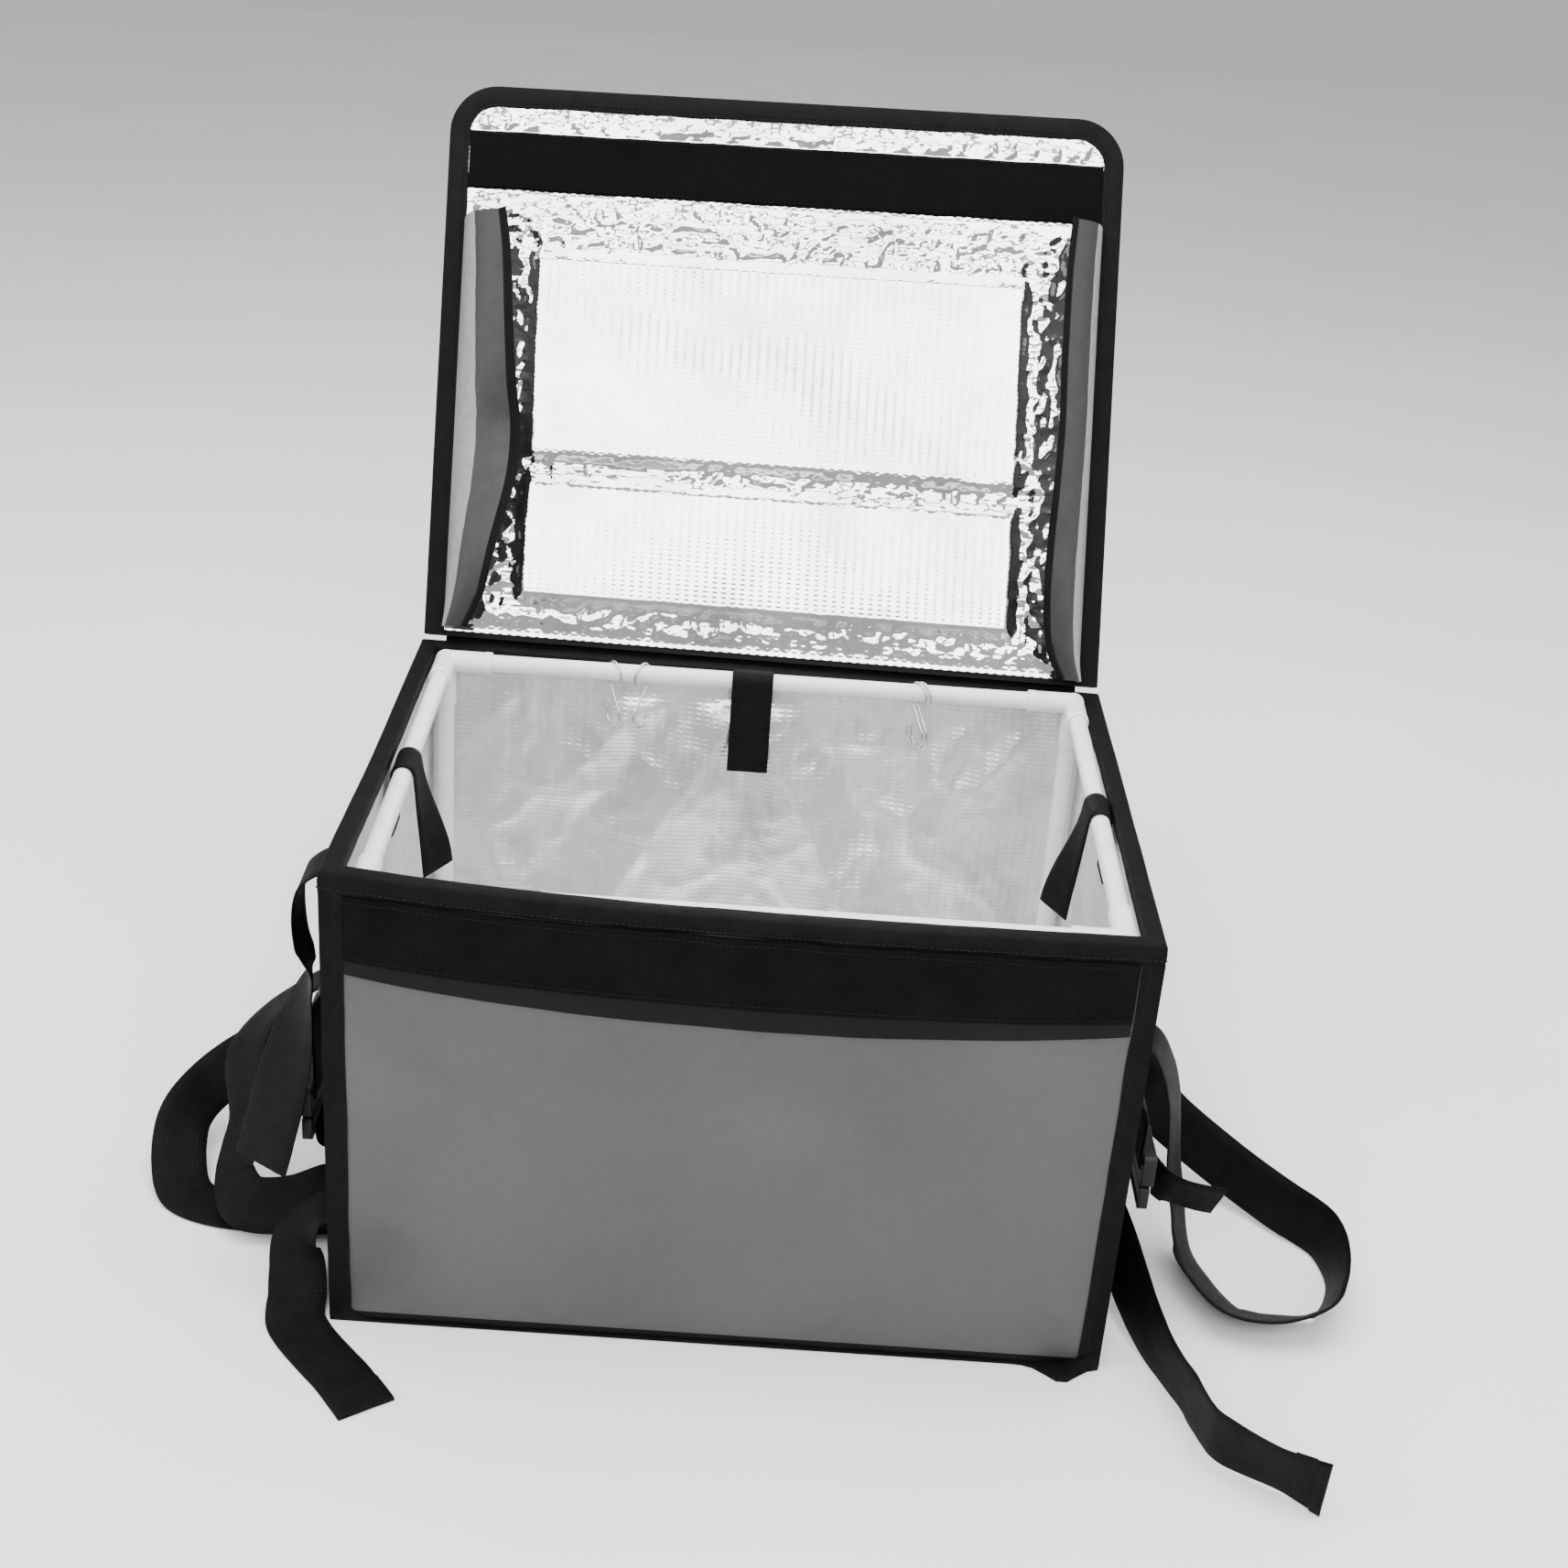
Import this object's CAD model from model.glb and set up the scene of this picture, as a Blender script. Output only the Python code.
import math

import bpy
import bmesh
import numpy as np
from mathutils import Matrix, Vector, noise


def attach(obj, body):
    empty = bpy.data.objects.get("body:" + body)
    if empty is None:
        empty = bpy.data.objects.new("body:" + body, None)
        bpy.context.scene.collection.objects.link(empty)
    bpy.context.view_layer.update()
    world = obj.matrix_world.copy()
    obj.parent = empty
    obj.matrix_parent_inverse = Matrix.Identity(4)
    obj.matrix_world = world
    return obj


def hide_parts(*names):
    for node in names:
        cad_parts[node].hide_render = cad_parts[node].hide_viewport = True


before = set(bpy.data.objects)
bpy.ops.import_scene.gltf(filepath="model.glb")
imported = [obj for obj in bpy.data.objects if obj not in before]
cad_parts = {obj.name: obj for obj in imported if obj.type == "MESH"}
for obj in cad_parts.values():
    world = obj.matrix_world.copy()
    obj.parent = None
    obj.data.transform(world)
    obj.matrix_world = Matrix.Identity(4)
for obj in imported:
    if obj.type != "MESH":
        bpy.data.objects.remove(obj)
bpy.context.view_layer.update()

# The box and lid, as in the CAD model, in metres
BOX_WIDTH = 0.500
BOX_DEPTH = 0.380
BOX_HEIGHT = 0.320
WALL = 0.007
FOIL = 0.0012
LID_LENGTH = 0.418
LID_FLAP = 0.077
LID_LEAN = 25.6
LID_CORNER = 0.034
BOARD_WIDTH = 0.375
BOARD_RISE = 0.004
BOARD_EDGE = 0.010
BOARD_ROWS = ((0.09, 0.385), (0.405, 0.88))
SKIRT_WIDTH = 0.058
SKIRT_CURL = 0.0058
TAPE = 0.0014
TAPE_FACE = 0.013
TAPE_INSIDE = 0.008
SEAM_TAPE = 0.012
HOOK_BAND = 0.050
LOOP_STRIP = 0.043
BAND = 0.0018
SKIRT_CLOTH = 0.0022
SKIRT_TAPE = 0.009
SKIRT_TAPE_THICKNESS = 0.0036
HINGE_TAPE = 0.024
WEBBING_WIDTH = 0.038
WEBBING = 0.0016
STRAP_REACH = 0.200
TUBE_RADIUS = 0.00635
TUBE_BORE_RADIUS = 0.0045
FITTING_RADIUS = 0.008
FITTING_LEG = 0.034
SOCKET_DEPTH = 0.020
FRAME_DIP = 0.009
FRAME_STRAP_WIDTH = 0.030
FRAME_STRAP_DROP = 0.076
FRAME_STRAP_SEWN = 0.046
FRAME_STRAP_STAND = 0.006
HOOK_WIRE = 0.0017
HOOK_LENGTH = 0.052
HOOK_LOOP = 0.0192
HOOK_TURN = 35.0
HOOK_SWEEP = 205.0
BUCKLE_WIDTH = 0.044
SOCKET_HEIGHT = 0.024
SOCKET_THICKNESS = 0.009
PLUG_HEIGHT = 0.017
PLUG_THICKNESS = 0.007
ADJUSTER_HEIGHT = 0.024
ADJUSTER_THICKNESS = 0.0035
BUCKLE_SLOT = 0.005
BUCKLE_RAIL = 0.003
GAP = 0.0003
BASE_TUCK = 0.002
SIDE_BULGE = 0.004
FRONT_BULGE = 0.003
RIM_LEAN = 0.003
RIM_SAG = 0.0045
RIM_PEAK = 0.006
LID_SKEW = 0.0073
LID_SHIFT = 0.0073
BAND_SAG = 0.013

HALF_WIDTH = BOX_WIDTH / 2
HALF_DEPTH = BOX_DEPTH / 2
WALL_TOP = BOX_HEIGHT - TAPE - GAP
LINING_INSIDE = WALL + 2 * GAP + FOIL
FRAME_INSET = BASE_TUCK + LINING_INSIDE + 0.0005 + FITTING_RADIUS
FRAME_HALF_WIDTH = HALF_WIDTH - FRAME_INSET
FRAME_HALF_DEPTH = HALF_DEPTH - FRAME_INSET
FRAME_BOTTOM = LINING_INSIDE + 2 * GAP + FITTING_RADIUS
FRAME_TOP = BOX_HEIGHT - 0.0046
STRAP_SEAT = 2 * GAP + TAPE + WEBBING / 2

# Folds on a wall: ends as shares across and up, width as a share of the height, rise in metres
FOLDS = {
    "front": [
        ((-0.96, 0.66), (-0.58, 0.50), 0.055, 0.0050),
        ((-0.96, 0.46), (-0.70, 0.40), 0.045, -0.0045),
        ((-0.95, 0.28), (-0.66, 0.16), 0.055, 0.0055),
        ((-0.92, 0.06), (-0.62, 0.10), 0.050, 0.0045),
        ((0.05, 0.66), (0.48, 0.40), 0.110, 0.0045),
        ((0.94, 0.64), (0.90, 0.22), 0.055, 0.0050),
        ((0.94, 0.30), (0.62, 0.22), 0.050, 0.0045),
        ((0.92, 0.14), (0.50, 0.10), 0.050, 0.0050),
        ((-0.30, 0.34), (0.30, 0.20), 0.100, -0.0040),
    ],
    "back_foil": [
        ((-0.06, 0.92), (-0.66, 0.06), 0.085, 0.0160),
        ((-0.08, 0.86), (-0.34, 0.10), 0.050, 0.0075),
        ((0.00, 0.90), (0.52, 0.04), 0.085, 0.0150),
        ((0.02, 0.80), (0.20, 0.16), 0.050, 0.0065),
        ((0.62, 0.86), (0.34, 0.42), 0.045, 0.0080),
        ((0.84, 0.90), (0.56, 0.58), 0.035, 0.0060),
        ((-0.30, 0.94), (-0.62, 0.66), 0.040, 0.0060),
        ((-0.84, 0.50), (-0.62, 0.16), 0.035, 0.0045),
    ],
    "left_foil": [
        ((0.30, 0.80), (-0.40, 0.20), 0.05, 0.006),
        ((0.60, 0.70), (0.20, 0.10), 0.04, 0.005),
        ((-0.10, 0.85), (-0.70, 0.45), 0.04, 0.005),
    ],
    "right_foil": [
        ((0.20, 0.82), (-0.40, 0.25), 0.05, 0.006),
        ((0.65, 0.75), (0.25, 0.20), 0.04, 0.005),
        ((-0.20, 0.88), (-0.75, 0.50), 0.04, 0.005),
    ],
    "front_foil": [
        ((-0.50, 0.75), (0.30, 0.25), 0.06, 0.005),
        ((0.20, 0.85), (0.70, 0.30), 0.05, 0.005),
    ],
}

# A lid skirt's free edge, as in the CAD model: along, reach and lift
SKIRT_FORM = {
    "left": [
        (0.93, 0.50, 0.62), (0.84, 0.58, 0.68), (0.70, 0.64, 0.66), (0.56, 0.70, 0.58), (0.47, 0.76, 0.48),
        (0.36, 0.74, 0.50), (0.22, 0.58, 0.56), (0.10, 0.44, 0.46), (0.03, 0.26, 0.28),
    ],
    "right": [
        (0.985, 0.38, 0.62), (0.86, 0.43, 0.70), (0.70, 0.44, 0.72), (0.56, 0.43, 0.72), (0.44, 0.45, 0.70),
        (0.30, 0.48, 0.62), (0.18, 0.48, 0.50), (0.08, 0.40, 0.36), (0.02, 0.22, 0.20),
    ],
}

# The straps' routes, as in the CAD model: out, along, up, turn and rise
STRAP_ROUTES = {
    "left_upper_strap": ("left", [
        (0.000, -0.60, 0.930, -90, 0),
        (0.050, -0.60, 0.915, -90, 0),
        (0.115, -0.60, 0.880, -90, 0),
        (0.135, -0.60, 0.810, -90, 0),
        (0.120, -0.62, 0.740, -88, 0),
        (0.085, -0.65, 0.690, -80, 10),
        (0.100, -0.66, 0.640, -64, 20),
        (0.145, -0.66, 0.535, -36, 20),
        (0.195, -0.66, 0.405, -22, 12),
        (0.280, -0.63, 0.205, -19, 0),
    ]),
    "left_buckle_webbing": ("left", [
        (0.000, -0.45, 0.640, -90, 0),
        (0.040, -0.45, 0.620, -90, 0),
        (0.095, -0.45, 0.570, -90, 0),
        (0.105, -0.45, 0.530, -90, 0),
        (0.105, -0.45, 0.430, -90, 0),
        (0.105, -0.45, 0.340, -90, 0),
    ]),
    "left_plug_webbing": ("left", [
        (0.105, -0.45, 0.275, -90, 0),
        (0.098, -0.45, 0.235, -90, 0),
        (0.050, -0.44, 0.225, -90, 0),
        (0.000, -0.43, 0.255, -90, 0),
    ]),
    "left_outer_loop": ("left", [
        (0.000, 0.34, 0.240, -90, -10),
        (0.200, 0.26, 0.225, -94, -35),
        (0.450, 0.16, 0.180, -97, -53),
        (0.610, 0.04, 0.125, -70, -53),
        (0.670, -0.12, 0.090, -12, -34),
        (0.655, -0.28, 0.030, 5, -14),
        (0.595, -0.39, 0.006, 28, 0),
        (0.460, -0.45, 0.002, 70, 0),
        (0.320, -0.46, 0.002, 88, 0),
        (0.150, -0.46, 0.004, 90, 0),
        (0.040, -0.46, 0.010, 90, 0),
    ]),
    "left_inner_loop": ("left", [
        (0.000, -0.02, 0.480, -90, 0),
        (0.130, -0.06, 0.470, -80, 10),
        (0.310, -0.16, 0.410, -67, 15),
        (0.385, -0.26, 0.350, -42, 13),
        (0.385, -0.31, 0.290, -28, 9),
        (0.385, -0.35, 0.190, -36, 14),
        (0.420, -0.44, 0.105, -30, 25),
        (0.350, -0.56, 0.075, 20, 40),
        (0.180, -0.56, 0.085, 70, 50),
        (0.000, -0.52, 0.130, 88, 60),
    ]),
    "left_lower_tail": ("left", [
        (0.000, -0.74, 0.165, -90, 0),
        (0.075, -0.75, 0.150, -72, 4),
        (0.140, -0.79, 0.095, -25, 14),
        (0.132, -0.84, 0.048, -5, 6),
        (0.115, -0.93, 0.018, 4, 0),
        (0.100, -1.04, 0.004, 12, 0),
        (0.020, -1.16, 0.000, 16, 0),
        (-0.095, -1.30, 0.000, 22, 0),
        (-0.200, -1.45, 0.000, 32, 0),
    ]),
    "right_buckle_webbing": ("right", [
        (0.000, -0.45, 0.520, -90, 0),
        (0.045, -0.45, 0.490, -90, 0),
        (0.095, -0.45, 0.440, -90, 0),
        (0.105, -0.45, 0.400, -90, 0),
        (0.105, -0.45, 0.305, -90, 0),
    ]),
    "right_short_tail": ("right", [
        (0.170, -0.47, 0.262, 92, -70),
        (0.205, -0.52, 0.256, 95, -64),
        (0.250, -0.53, 0.248, 98, -58),
        (0.330, -0.53, 0.236, 95, -60),
        (0.395, -0.53, 0.230, 95, -60),
    ]),
    "right_shoulder_loop": ("right", [
        (0.000, 0.66, 0.320, 85, 45),
        (0.130, 0.46, 0.260, 82, 50),
        (0.255, 0.27, 0.195, 80, 55),
        (0.350, 0.20, 0.145, 75, 60),
        (0.570, 0.04, 0.082, 35, 62),
        (0.735, -0.13, 0.060, 35, 62),
        (0.845, -0.28, 0.059, 5, 70),
        (0.862, -0.48, 0.059, -10, 74),
        (0.810, -0.66, 0.058, -45, 64),
        (0.750, -0.735, 0.053, -80, 45),
        (0.620, -0.76, 0.040, -100, 30),
        (0.455, -0.71, 0.037, -106, 26),
        (0.345, -0.44, 0.044, -115, 24),
        (0.305, -0.34, 0.134, -113, 15),
        (0.260, -0.32, 0.252, -112, 12),
        (0.220, -0.32, 0.408, -110, 10),
        (0.135, -0.32, 0.530, -106, 5),
        (0.000, -0.32, 0.570, -95, 0),
    ]),
    "right_lower_tail": ("right", [
        (0.000, -0.28, 0.155, -95, -80),
        (0.065, -0.46, 0.140, -100, -70),
        (0.105, -0.66, 0.092, -160, -66),
        (0.147, -0.87, 0.070, 145, -66),
        (0.190, -1.04, 0.062, 115, -58),
        (0.247, -1.22, 0.060, 105, -54),
        (0.286, -1.38, 0.062, 105, -58),
        (0.335, -1.46, 0.062, 134, -66),
        (0.480, -1.57, 0.062, 125, -64),
        (0.605, -1.65, 0.060, 164, -70),
    ]),
}

# Straps whose free end is folded over and sewn
HEMMED = ("left_upper_strap", "left_lower_tail", "right_lower_tail")
HEM = 0.022


# Shapes

def mix(a, b, share):
    return a + (b - a) * share


def spread(low, high, count):
    return [mix(low, high, i / count) for i in range(count + 1)]


def smooth_step(value):
    value = min(1.0, max(0.0, value))
    return value * value * (3 - 2 * value)


def wander(point, scale, seed=0.0, octaves=3):
    """Smooth noise of about -1 to 1, with features of the given size in metres."""
    place = Vector((point[0] / scale + seed, point[1] / scale - seed, point[2] / scale + 2 * seed))
    return noise.fractal(place, 1.0, 2.0, octaves)


def crease(point, scale, seed=0.0):
    """Sharp creases: 1 along a net of thin lines, falling to about 0 between them."""
    place = Vector((point[0] / scale + seed, point[1] / scale - seed, point[2] / scale + 2 * seed))
    value = 1 - min(1.0, 2.6 * abs(noise.noise(place)))
    return value * value


def fold_rise(folds, across, up):
    total = 0.0
    place = Vector((across, up))
    for start, end, width, rise in folds:
        start = Vector(start)
        run = Vector(end) - start
        share = min(1.0, max(0.0, (place - start).dot(run) / run.length_squared))
        distance = (place - start - run * share).length / width
        total += rise * math.sin(math.pi * mix(0.12, 0.88, share)) * math.exp(-distance * distance)
    return total


def ridge_rise(folds, across, up):
    """Like fold_rise, with sharp ridges between flat sides, as stiff foil folds."""
    total = 0.0
    place = Vector((across, up))
    for start, end, width, rise in folds:
        start = Vector(start)
        run = Vector(end) - start
        share = min(1.0, max(0.0, (place - start).dot(run) / run.length_squared))
        distance = (place - start - run * share).length / (2.2 * width * mix(0.6, 1.3, share))
        total += rise * math.sin(math.pi * mix(0.15, 0.85, share)) * max(0.0, 1 - distance)
    return total


def soften(point):
    """Move a point of the crisp box to where the soft box has it."""
    across = point.x / HALF_WIDTH
    along = point.y / HALF_DEPTH
    up = point.z / BOX_HEIGHT
    side_swell = math.sin(math.pi * min(1.0, max(0.0, up))) * max(0.0, 1 - along * along)
    front_swell = math.sin(math.pi * min(1.0, max(0.0, up))) * max(0.0, 1 - across * across)
    front_share = smooth_step(-along)
    x = point.x - across * BASE_TUCK * (1 - up)
    x += math.copysign(SIDE_BULGE, point.x) * side_swell * smooth_step(abs(across))
    y = point.y - FRONT_BULGE * front_swell * front_share
    z = point.z - RIM_LEAN * across * up
    z -= RIM_SAG * max(0.0, 1 - across * across) * up ** 4 * front_share
    z += RIM_PEAK * max(0.0, -across) ** 3 * up ** 4 * front_share
    return Vector((x, y, z))


def lid_point(across, along, out):
    lean = math.radians(LID_LEAN)
    share = across / HALF_WIDTH
    rise = along * (1 + LID_SKEW / LID_LENGTH * share)
    hinge = Vector((across - LID_SHIFT * along / LID_LENGTH, HALF_DEPTH, BOX_HEIGHT - RIM_LEAN * share))
    upward = Vector((0, math.sin(lean), math.cos(lean)))
    inward = Vector((0, -math.cos(lean), math.sin(lean)))
    return hinge + upward * rise + inward * out


def smooth_rows(rows, steps):
    result = []
    last = len(rows) - 1
    for i in range(last):
        before, start = rows[max(0, i - 1)], rows[i]
        end, after = rows[i + 1], rows[min(last, i + 2)]
        for step in range(steps):
            t = step / steps
            row = []
            for p, a, b, n in zip(before, start, end, after):
                row.append(0.5 * (2 * a + (b - p) * t + (2 * p - 5 * a + 4 * b - n) * t ** 2
                                  + (3 * a - p - 3 * b + n) * t ** 3))
            result.append(row)
    result.append(list(rows[-1]))
    return result


class Shape:
    """Points, faces and flat texture places (in metres) that become one piece."""

    def __init__(self):
        self.points = []
        self.faces = []
        self.flat = []

    def add(self, point, flat):
        self.points.append(point)
        self.flat.append(flat)
        return len(self.points) - 1

    def grid(self, columns, rows, place, flat):
        """A closed sheet: place(column, row, level) has level 1 on its outside."""
        index = {}
        for level in (1, 0):
            for i, column in enumerate(columns):
                for j, row in enumerate(rows):
                    index[level, i, j] = self.add(place(column, row, level), flat(column, row))
        last_i, last_j = len(columns) - 1, len(rows) - 1
        for i in range(last_i):
            for j in range(last_j):
                for level, order in ((1, 1), (0, -1)):
                    corners = [index[level, i, j], index[level, i + 1, j], index[level, i + 1, j + 1],
                               index[level, i, j + 1]]
                    self.faces.append(corners[::order])
        rim = [(i, 0) for i in range(last_i)] + [(last_i, j) for j in range(last_j)]
        rim += [(i, last_j) for i in range(last_i, 0, -1)] + [(0, j) for j in range(last_j, 0, -1)]
        for a, b in zip(rim, rim[1:] + rim[:1]):
            self.faces.append([index[(0, *a)], index[(0, *b)], index[(1, *b)], index[(1, *a)]])

    def loft(self, sections, closed=False):
        """Skin through rings of points. Flat places run along the rings' path and round them."""
        count = len(sections[0])
        path = 0.0
        rings = []
        for k, section in enumerate(sections):
            if k:
                path += (section[0] - sections[k - 1][0]).length
            round_it = 0.0
            ring = []
            for i, point in enumerate(section):
                if i:
                    round_it += (point - section[i - 1]).length
                ring.append(self.add(point, (round_it, path)))
            rings.append(ring)
        pairs = list(zip(rings, rings[1:]))
        if closed:
            pairs.append((rings[-1], rings[0]))
        for ring, following in pairs:
            for i in range(count):
                j = (i + 1) % count
                self.faces.append([ring[i], ring[j], following[j], following[i]])
        if not closed:
            self.faces.append(rings[0][::-1])
            self.faces.append(rings[-1])

    def stitch(self, middle, along, out, length, width, height):
        """One sewn stitch: a small ridge that stands on the cloth."""
        side = along.cross(out).normalized() * width / 2
        along = along.normalized() * length / 2
        sink = out * 0.0004
        base = [middle - along - side - sink, middle + along - side - sink, middle + along + side - sink,
                middle - along + side - sink]
        ridge = [middle - along * 0.75 + out * height, middle + along * 0.75 + out * height]
        k = [self.add(point, (0.0, 0.0)) for point in base + ridge]
        self.faces += [[k[3], k[2], k[1], k[0]], [k[0], k[1], k[5], k[4]], [k[2], k[3], k[4], k[5]],
                       [k[1], k[2], k[5]], [k[3], k[0], k[4]]]

    def stitches(self, points, outs, pitch=0.0036, length=0.0026, width=0.0008, height=0.0005):
        """A row of stitches along a line of points with its outward directions."""
        carried = pitch / 2
        for (a, b), (out_a, out_b) in zip(zip(points, points[1:]), zip(outs, outs[1:])):
            run = b - a
            while carried < run.length:
                share = carried / run.length
                out = mix(out_a, out_b, share).normalized()
                self.stitch(a + run * share, run, out, length, width, height)
                carried += pitch
            carried -= run.length

    def piece(self, name, look, slot, nodes=(), body="box", sharp=50):
        bm = bmesh.new()
        verts = [bm.verts.new(point) for point in self.points]
        for face in self.faces:
            bm.faces.new([verts[i] for i in face])
        bmesh.ops.recalc_face_normals(bm, faces=bm.faces)
        mesh = bpy.data.meshes.new(name)
        bm.to_mesh(mesh)
        bm.free()
        flat = np.array(self.flat, dtype=np.float32)
        corner_points = np.zeros(len(mesh.loops), dtype=np.int32)
        mesh.loops.foreach_get("vertex_index", corner_points)
        layer = mesh.uv_layers.new(name="flat")
        layer.data.foreach_set("uv", flat[corner_points].ravel())
        mesh.shade_smooth()
        mesh.set_sharp_from_angle(angle=math.radians(sharp))
        return settle(bpy.data.objects.new(name, mesh), look, nodes, body)


def settle(item, look, nodes=(), body="box"):
    """Put a new piece in the scene, with its looks, its body and the nodes it stands for."""
    bpy.context.scene.collection.objects.link(item)
    item.data.materials.append(look)
    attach(item, body)
    if nodes:
        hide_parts(*nodes)
    return item


# Looks

class Look:
    """A node material, built up from small steps."""

    def __init__(self, name, colour, roughness, metallic=0.0, specular=0.5, sheen=0.0, coat=0.0):
        self.material = bpy.data.materials.new(name)
        self.material.use_nodes = True
        self.tree = self.material.node_tree
        self.shader = self.tree.nodes["Principled BSDF"]
        self.shader.inputs["Base Color"].default_value = (*colour, 1.0)
        self.shader.inputs["Roughness"].default_value = roughness
        self.shader.inputs["Metallic"].default_value = metallic
        self.shader.inputs["Specular IOR Level"].default_value = specular
        self.shader.inputs["Sheen Weight"].default_value = sheen
        self.shader.inputs["Coat Weight"].default_value = coat
        self.places = self.tree.nodes.new("ShaderNodeTexCoord")
        self.relief = None

    def node(self, kind, **settings):
        made = self.tree.nodes.new(kind)
        for key, value in settings.items():
            setattr(made, key, value)
        return made

    def link(self, source, target):
        self.tree.links.new(source, target)

    def mapped(self, kind, scale):
        mapping = self.node("ShaderNodeMapping")
        mapping.inputs["Scale"].default_value = scale
        self.link(self.places.outputs[kind], mapping.inputs["Vector"])
        return mapping.outputs["Vector"]

    def noise(self, scale, detail=3.0, rough=0.55, kind="Object", stretch=(1, 1, 1)):
        made = self.node("ShaderNodeTexNoise")
        made.inputs["Scale"].default_value = scale
        made.inputs["Detail"].default_value = detail
        made.inputs["Roughness"].default_value = rough
        self.link(self.mapped(kind, stretch), made.inputs["Vector"])
        return made.outputs["Fac"]

    def wave(self, per_metre, axis, kind="UV", distort=0.0, shape="SIN"):
        """Ribs: per_metre of them along one axis."""
        made = self.node("ShaderNodeTexWave", wave_type="BANDS", bands_direction=axis, wave_profile=shape)
        made.inputs["Scale"].default_value = per_metre * math.pi / 10
        made.inputs["Distortion"].default_value = distort
        made.inputs["Detail"].default_value = 1.0
        self.link(self.mapped(kind, (1, 1, 1)), made.inputs["Vector"])
        return made.outputs["Fac"]

    def math(self, operation, a, b=None, clamp=False):
        made = self.node("ShaderNodeMath", operation=operation, use_clamp=clamp)
        for socket, value in zip(made.inputs, (a, b)):
            if value is None:
                continue
            if isinstance(value, (int, float)):
                socket.default_value = value
            else:
                self.link(value, socket)
        return made.outputs[0]

    def ramp(self, factor, stops):
        made = self.node("ShaderNodeValToRGB")
        elements = made.color_ramp.elements
        while len(elements) < len(stops):
            elements.new(0.5)
        for element, (place, colour) in zip(elements, stops):
            element.position = place
            element.color = (*colour, 1.0) if hasattr(colour, "__len__") else (colour, colour, colour, 1.0)
        self.link(factor, made.inputs["Fac"])
        return made.outputs["Color"]

    def colour(self, source):
        self.link(source, self.shader.inputs["Base Color"])

    def roughness(self, factor, low, high):
        made = self.node("ShaderNodeMapRange")
        made.inputs["To Min"].default_value = low
        made.inputs["To Max"].default_value = high
        self.link(factor, made.inputs["Value"])
        self.link(made.outputs["Result"], self.shader.inputs["Roughness"])

    def bump(self, height, distance, strength=1.0):
        made = self.node("ShaderNodeBump")
        made.inputs["Strength"].default_value = strength
        made.inputs["Distance"].default_value = distance
        self.link(height, made.inputs["Height"])
        if self.relief is not None:
            self.link(self.relief, made.inputs["Normal"])
        self.relief = made.outputs["Normal"]
        self.link(self.relief, self.shader.inputs["Normal"])

    def blend(self, factor, a, b):
        made = self.node("ShaderNodeMix", data_type="RGBA")
        self.link(factor, made.inputs["Factor"])
        for socket, value in ((made.inputs[6], a), (made.inputs[7], b)):
            if isinstance(value, tuple):
                socket.default_value = (*value, 1.0)
            else:
                self.link(value, socket)
        return made.outputs[2]


def coated_cloth(name, dark, light, roughness, specular):
    """Woven cloth under a satin coating: fine weave, soft dents and a little wear."""
    look = Look(name, dark, roughness, specular=specular)
    broad = look.noise(9.0, 4.0, 0.6)
    fine = look.noise(160.0, 2.0, 0.5)
    tone = look.math("ADD", look.math("MULTIPLY", broad, 0.75), look.math("MULTIPLY", fine, 0.25))
    look.colour(look.ramp(tone, [(0.30, dark), (0.70, light)]))
    look.roughness(look.noise(35.0, 4.0, 0.6), roughness - 0.07, roughness + 0.10)
    weave = look.math("MAXIMUM", look.wave(1400, "X"), look.wave(1400, "Y"))
    look.bump(look.noise(28.0, 4.0, 0.5), 0.0012, 0.55)
    look.bump(weave, 0.00010, 0.5)
    return look.material


def ribbed_tape(name, dark, light, ribs, roughness):
    """Narrow woven tape with ribs along its length and a cross weave."""
    look = Look(name, dark, roughness, specular=0.09)
    look.colour(look.ramp(look.noise(55.0, 4.0, 0.65), [(0.30, dark), (0.72, light)]))
    look.roughness(look.noise(120.0, 2.0, 0.5), roughness - 0.08, roughness + 0.08)
    weave = look.math("ADD", look.math("MULTIPLY", look.wave(ribs, "X"), 0.6), look.math("MULTIPLY", look.wave(900, "Y"), 0.4))
    look.bump(look.noise(90.0, 3.0, 0.5), 0.0006, 0.5)
    look.bump(weave, 0.00022, 0.8)
    return look.material


def strap_webbing(name):
    """Strap webbing: close ribs across it, paired lines along it and matt edges."""
    look = Look(name, (0.002, 0.002, 0.0025), 0.62, specular=0.10)
    look.colour(look.ramp(look.noise(70.0, 4.0, 0.6), [(0.28, (0.0015, 0.0015, 0.0018)), (0.75, (0.004, 0.004, 0.0045))]))
    look.roughness(look.noise(90.0, 3.0, 0.6), 0.52, 0.72)
    ribs = look.wave(620, "Y", distort=0.6)
    lines = look.wave(330, "X")
    weave = look.math("ADD", look.math("MULTIPLY", ribs, 0.7), look.math("MULTIPLY", lines, 0.3))
    look.bump(look.noise(60.0, 3.0, 0.5), 0.0006, 0.4)
    look.bump(weave, 0.00030, 0.9)
    return look.material


def fastening_pile(name, dark, light, ribs, pile):
    """Hook or loop tape: rows of fine pile."""
    look = Look(name, dark, 0.85, specular=0.07)
    fuzz = look.noise(900.0, 3.0, 0.7)
    tone = look.math("ADD", look.math("MULTIPLY", fuzz, 0.6), look.math("MULTIPLY", look.noise(30.0, 3.0, 0.6), 0.4))
    look.colour(look.ramp(tone, [(0.35, dark), (0.68, light)]))
    look.roughness(fuzz, 0.72, 0.95)
    look.bump(look.noise(45.0, 3.0, 0.5), 0.0009, 0.5)
    look.bump(look.wave(ribs, "X", distort=0.8), 0.00035, 0.8)
    look.bump(fuzz, pile, 0.9)
    return look.material


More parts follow.
